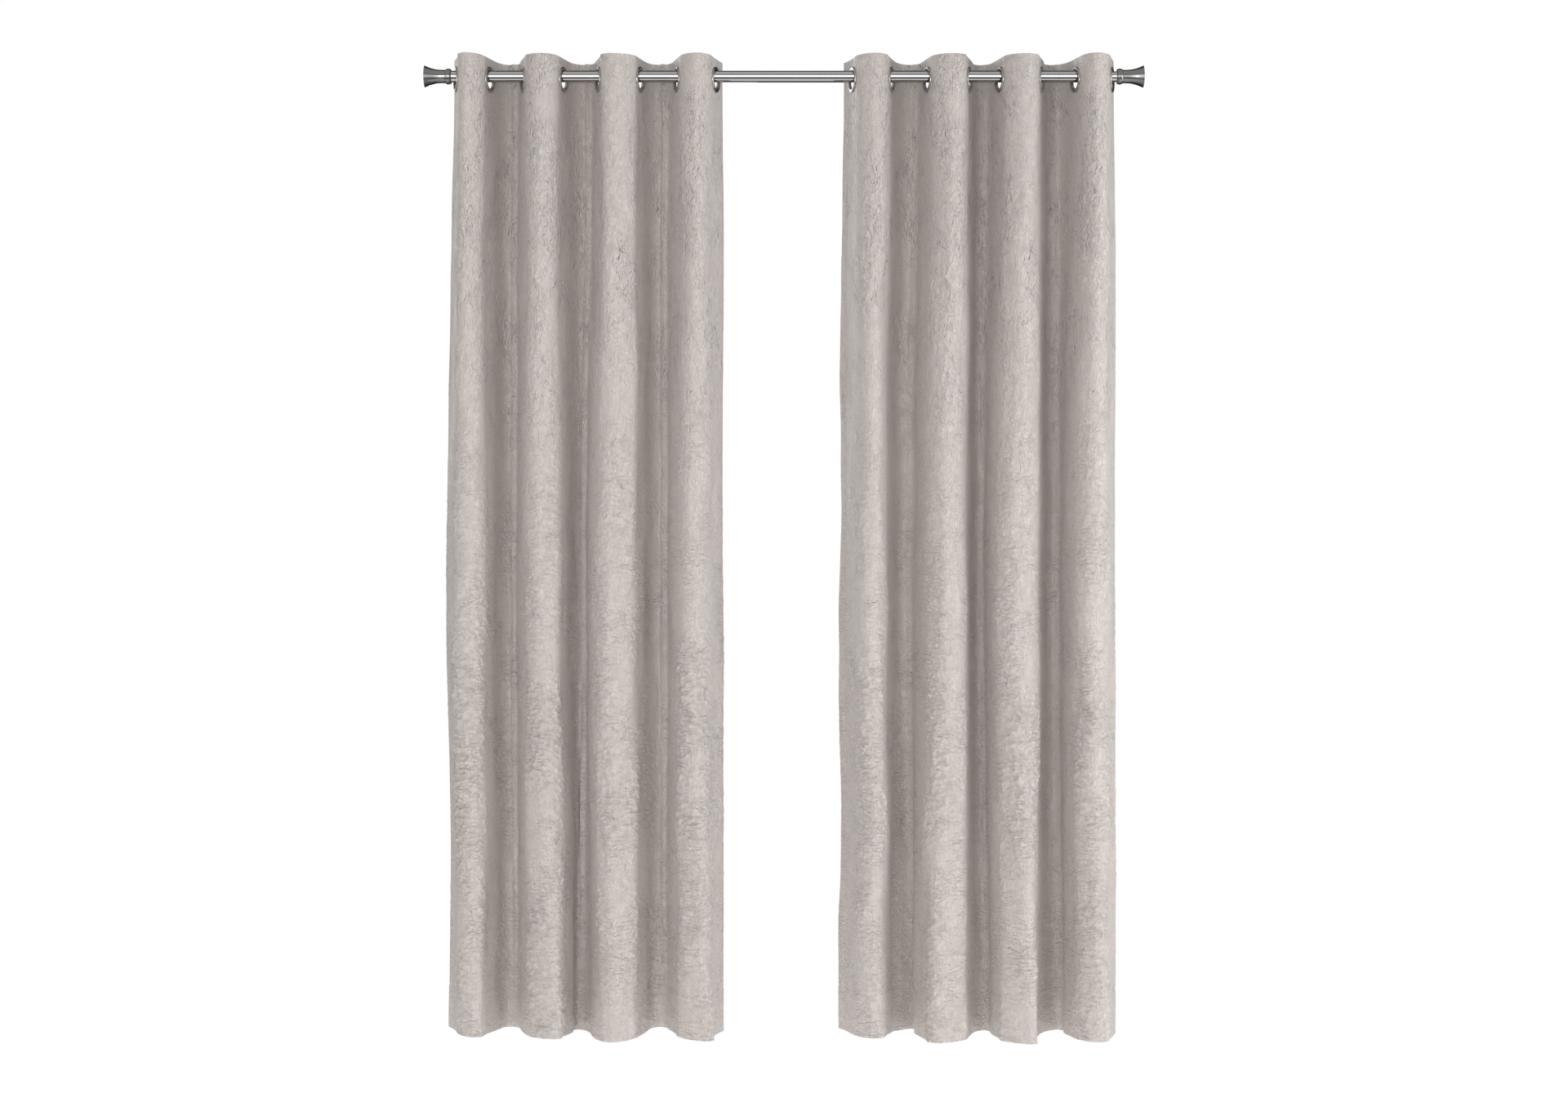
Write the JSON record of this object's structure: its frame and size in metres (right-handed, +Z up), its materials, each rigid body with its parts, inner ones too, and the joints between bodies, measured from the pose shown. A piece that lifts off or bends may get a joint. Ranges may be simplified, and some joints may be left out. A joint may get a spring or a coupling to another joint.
{
  "type": "window curtains on a rod",
  "caption": "Pair of crinkled eyelet curtain panels hanging in folds on a telescopic metal rod with trumpet finials and two wall brackets.",
  "frame": {"origin": "centre of the left bracket's wall face", "axes": "+X along the rod to the right bracket, +Y into the wall, +Z up"},
  "size_m": [1.575, 0.1575, 2.134],
  "materials": {
    "cloth": "crinkled matt satin",
    "nickel": "polished nickel plate",
    "eyelet": "bright nickel plate",
    "steel": "plain steel screw",
    "plastic": "moulded"
  },
  "bodies": {
    "brackets": {"left_wall_plate": "nickel", "left_bracket_arm": "nickel", "left_cradle": "nickel", "left_arm_set_screw": "steel", "right_wall_plate": "nickel", "right_bracket_arm": "nickel", "right_cradle": "nickel", "right_arm_set_screw": "steel"},
    "rod": {"outer_tube": "nickel", "left_eyelet_1_ring": "eyelet", "left_eyelet_1_washer": "eyelet", "right_eyelet_1_ring": "eyelet", "right_eyelet_1_washer": "eyelet"},
    "inner_rod": {"inner_tube": "nickel", "inner_tube_guide": "plastic", "right_finial_sleeve": "plastic"},
    "left_clamp_screw": {"left_clamp_screw": "steel"},
    "left_finial": {"left_finial": "nickel", "left_finial_cap": "nickel", "left_finial_set_screw": "steel"},
    "left_lead": {"left_panel": "cloth", "left_eyelet_8_ring": "eyelet", "left_eyelet_8_washer": "eyelet"},
    "left_eyelet_2": {"left_eyelet_2_ring": "eyelet", "left_eyelet_2_washer": "eyelet"},
    "left_eyelet_3": {"left_eyelet_3_ring": "eyelet", "left_eyelet_3_washer": "eyelet"},
    "left_eyelet_4": {"left_eyelet_4_ring": "eyelet", "left_eyelet_4_washer": "eyelet"},
    "left_eyelet_5": {"left_eyelet_5_ring": "eyelet", "left_eyelet_5_washer": "eyelet"},
    "left_eyelet_6": {"left_eyelet_6_ring": "eyelet", "left_eyelet_6_washer": "eyelet"},
    "left_eyelet_7": {"left_eyelet_7_ring": "eyelet", "left_eyelet_7_washer": "eyelet"},
    "right_clamp_screw": {"right_clamp_screw": "steel"},
    "right_finial": {"right_finial": "nickel", "right_finial_cap": "nickel", "right_finial_set_screw": "steel"},
    "right_lead": {"right_panel": "cloth", "right_eyelet_8_ring": "eyelet", "right_eyelet_8_washer": "eyelet"},
    "right_eyelet_2": {"right_eyelet_2_ring": "eyelet", "right_eyelet_2_washer": "eyelet"},
    "right_eyelet_3": {"right_eyelet_3_ring": "eyelet", "right_eyelet_3_washer": "eyelet"},
    "right_eyelet_4": {"right_eyelet_4_ring": "eyelet", "right_eyelet_4_washer": "eyelet"},
    "right_eyelet_5": {"right_eyelet_5_ring": "eyelet", "right_eyelet_5_washer": "eyelet"},
    "right_eyelet_6": {"right_eyelet_6_ring": "eyelet", "right_eyelet_6_washer": "eyelet"},
    "right_eyelet_7": {"right_eyelet_7_ring": "eyelet", "right_eyelet_7_washer": "eyelet"}
  },
  "joints": [
    {"name": "rod_lift", "type": "slide", "parent": "brackets", "child": "rod", "axis": [0, 0, 1], "range_m": [0, 0.03]},
    {"name": "rod_extension", "type": "slide", "parent": "rod", "child": "inner_rod", "axis": [1, 0, 0], "range_m": [0, 1]},
    {"name": "left_clamp_release", "type": "slide", "parent": "brackets", "child": "left_clamp_screw", "axis": [0, -1, 0], "range_m": [0, 0.004]},
    {"name": "left_finial_pull", "type": "slide", "parent": "rod", "child": "left_finial", "axis": [-1, 0, 0], "range_m": [0, 0.04]},
    {"name": "left_draw", "type": "slide", "parent": "rod", "child": "left_lead", "axis": [1, 0, 0], "range_m": [-0.27, 0.125], "deforming": ["left_panel"]},
    {"name": "left_eyelet_2_slide", "type": "slide", "parent": "rod", "child": "left_eyelet_2", "axis": [1, 0, 0], "range_m": [-0.03568, 0.01679]},
    {"name": "left_eyelet_3_slide", "type": "slide", "parent": "rod", "child": "left_eyelet_3", "axis": [1, 0, 0], "range_m": [-0.0699, 0.03263]},
    {"name": "left_eyelet_4_slide", "type": "slide", "parent": "rod", "child": "left_eyelet_4", "axis": [1, 0, 0], "range_m": [-0.11221, 0.05222]},
    {"name": "left_eyelet_5_slide", "type": "slide", "parent": "rod", "child": "left_eyelet_5", "axis": [1, 0, 0], "range_m": [-0.14833, 0.06894]},
    {"name": "left_eyelet_6_slide", "type": "slide", "parent": "rod", "child": "left_eyelet_6", "axis": [1, 0, 0], "range_m": [-0.19207, 0.08919]},
    {"name": "left_eyelet_7_slide", "type": "slide", "parent": "rod", "child": "left_eyelet_7", "axis": [1, 0, 0], "range_m": [-0.2301, 0.10679]},
    {"name": "right_clamp_release", "type": "slide", "parent": "brackets", "child": "right_clamp_screw", "axis": [0, -1, 0], "range_m": [0, 0.004]},
    {"name": "right_finial_pull", "type": "slide", "parent": "inner_rod", "child": "right_finial", "axis": [1, 0, 0], "range_m": [0, 0.04]},
    {"name": "right_draw", "type": "slide", "parent": "rod", "child": "right_lead", "axis": [-1, 0, 0], "range_m": [-0.27, 0.125], "deforming": ["right_panel"]},
    {"name": "right_eyelet_2_slide", "type": "slide", "parent": "rod", "child": "right_eyelet_2", "axis": [-1, 0, 0], "range_m": [-0.03853, 0.01811]},
    {"name": "right_eyelet_3_slide", "type": "slide", "parent": "rod", "child": "right_eyelet_3", "axis": [-1, 0, 0], "range_m": [-0.0737, 0.03439]},
    {"name": "right_eyelet_4_slide", "type": "slide", "parent": "rod", "child": "right_eyelet_4", "axis": [-1, 0, 0], "range_m": [-0.11744, 0.05464]},
    {"name": "right_eyelet_5_slide", "type": "slide", "parent": "rod", "child": "right_eyelet_5", "axis": [-1, 0, 0], "range_m": [-0.14881, 0.06916]},
    {"name": "right_eyelet_6_slide", "type": "slide", "parent": "rod", "child": "right_eyelet_6", "axis": [-1, 0, 0], "range_m": [-0.19254, 0.08941]},
    {"name": "right_eyelet_7_slide", "type": "slide", "parent": "rod", "child": "right_eyelet_7", "axis": [-1, 0, 0], "range_m": [-0.22962, 0.10657]}
  ],
  "couplings": [
    {"joint": "left_eyelet_2_slide", "follows": "left_draw", "ratio": 0.13028},
    {"joint": "left_eyelet_3_slide", "follows": "left_draw", "ratio": 0.25704},
    {"joint": "left_eyelet_4_slide", "follows": "left_draw", "ratio": 0.41373},
    {"joint": "left_eyelet_5_slide", "follows": "left_draw", "ratio": 0.54753},
    {"joint": "left_eyelet_6_slide", "follows": "left_draw", "ratio": 0.70951},
    {"joint": "left_eyelet_7_slide", "follows": "left_draw", "ratio": 0.85035},
    {"joint": "right_eyelet_2_slide", "follows": "right_draw", "ratio": 0.14084},
    {"joint": "right_eyelet_3_slide", "follows": "right_draw", "ratio": 0.27113},
    {"joint": "right_eyelet_4_slide", "follows": "right_draw", "ratio": 0.4331},
    {"joint": "right_eyelet_5_slide", "follows": "right_draw", "ratio": 0.5493},
    {"joint": "right_eyelet_6_slide", "follows": "right_draw", "ratio": 0.71127},
    {"joint": "right_eyelet_7_slide", "follows": "right_draw", "ratio": 0.84859}
  ]
}
